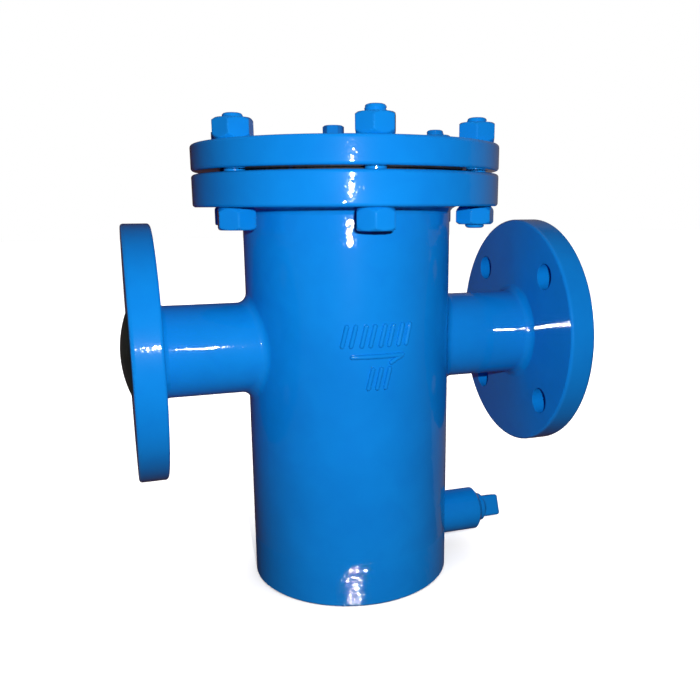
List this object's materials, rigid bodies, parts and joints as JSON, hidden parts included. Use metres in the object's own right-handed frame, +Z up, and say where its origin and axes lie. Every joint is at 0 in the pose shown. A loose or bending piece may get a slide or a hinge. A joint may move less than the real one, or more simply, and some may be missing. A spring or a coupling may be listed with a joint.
{
  "type": "flanged basket strainer",
  "caption": "Straight-through flanged pipeline strainer: upright body with bolted blind cover, inlet and outlet flanges, lift-out basket, swing handle and plugged drain.",
  "frame": {"origin": "the body's axis at the underside of the base", "axes": "+Z up towards the cover; flow runs along +X from the inlet to the outlet; +Y to the back"},
  "size_m": [0.3052, 0.203, 0.3148],
  "materials": {
    "blue_paint": "gloss enamel",
    "bare_steel": "mill finish",
    "stainless": "satin",
    "gasket_sheet": "matte",
    "black_plastic": "semi-gloss"
  },
  "bodies": {
    "strainer_body": {"body_shell": "blue_paint", "base_plate": "blue_paint", "body_flange": "blue_paint", "body_flange_weld": "blue_paint", "stud_1": "blue_paint", "stud_2": "blue_paint", "stud_3": "blue_paint", "stud_4": "blue_paint", "stud_5": "blue_paint", "stud_6": "blue_paint", "lower_nut_1": "blue_paint", "lower_nut_2": "blue_paint", "lower_nut_3": "blue_paint", "lower_nut_4": "blue_paint", "lower_nut_5": "blue_paint", "lower_nut_6": "blue_paint", "inlet_pipe": "blue_paint", "inlet_flange": "blue_paint", "inlet_body_weld": "blue_paint", "inlet_flange_weld": "blue_paint", "outlet_pipe": "blue_paint", "outlet_flange": "blue_paint", "outlet_body_weld": "blue_paint", "outlet_flange_weld": "blue_paint", "drain_socket": "blue_paint", "drain_weld": "blue_paint", "flow_arrow": "blue_paint", "marker_bars": "blue_paint", "seat_plate": "bare_steel", "cover_gasket": "gasket_sheet"},
    "cover_plate": {"cover": "blue_paint", "vent_boss": "blue_paint", "vent_weld": "blue_paint"},
    "vent": {"vent_plug": "blue_paint"},
    "basket": {"basket_screen": "stainless", "basket_base": "stainless", "basket_rim": "stainless"},
    "handle": {"basket_handle": "stainless"},
    "plug": {"drain_plug": "blue_paint"},
    "inlet_plug_cap": {"inlet_cap": "black_plastic"},
    "outlet_plug_cap": {"outlet_cap": "black_plastic"},
    "nut_1": {"top_nut_1": "blue_paint"},
    "nut_2": {"top_nut_2": "blue_paint"},
    "nut_3": {"top_nut_3": "blue_paint"},
    "nut_4": {"top_nut_4": "blue_paint"},
    "nut_5": {"top_nut_5": "blue_paint"},
    "nut_6": {"top_nut_6": "blue_paint"}
  },
  "joints": [
    {"name": "cover_lift", "type": "slide", "parent": "strainer_body", "child": "cover_plate", "axis": [0, 0, 1], "range_m": [0, 0.4]},
    {"name": "basket_lift", "type": "slide", "parent": "strainer_body", "child": "basket", "axis": [0, 0, 1], "range_m": [0, 0.275]},
    {"name": "handle_swing", "type": "hinge", "parent": "basket", "child": "handle", "pos_m": [0, 0, 0.181], "axis": [0, 1, 0], "range_deg": [-100, 40]},
    {"name": "vent_withdraw", "type": "slide", "parent": "cover_plate", "child": "vent", "axis": [0, 0, 1], "range_m": [0, 0.03]},
    {"name": "plug_withdraw", "type": "slide", "parent": "strainer_body", "child": "plug", "axis": [1, 0, 0], "range_m": [0, 0.03]},
    {"name": "inlet_cap_pull", "type": "slide", "parent": "strainer_body", "child": "inlet_plug_cap", "axis": [-1, 0, 0], "range_m": [0, 0.03]},
    {"name": "outlet_cap_pull", "type": "slide", "parent": "strainer_body", "child": "outlet_plug_cap", "axis": [1, 0, 0], "range_m": [0, 0.03]},
    {"name": "nut_1_unscrew", "type": "slide", "parent": "cover_plate", "child": "nut_1", "axis": [0, 0, 1], "range_m": [0, 0.03]},
    {"name": "nut_2_unscrew", "type": "slide", "parent": "cover_plate", "child": "nut_2", "axis": [0, 0, 1], "range_m": [0, 0.03]},
    {"name": "nut_3_unscrew", "type": "slide", "parent": "cover_plate", "child": "nut_3", "axis": [0, 0, 1], "range_m": [0, 0.03]},
    {"name": "nut_4_unscrew", "type": "slide", "parent": "cover_plate", "child": "nut_4", "axis": [0, 0, 1], "range_m": [0, 0.03]},
    {"name": "nut_5_unscrew", "type": "slide", "parent": "cover_plate", "child": "nut_5", "axis": [0, 0, 1], "range_m": [0, 0.03]},
    {"name": "nut_6_unscrew", "type": "slide", "parent": "cover_plate", "child": "nut_6", "axis": [0, 0, 1], "range_m": [0, 0.03]}
  ],
  "couplings": [
    {"joint": "basket_lift", "follows": "cover_lift", "ratio": 0.6875}
  ]
}
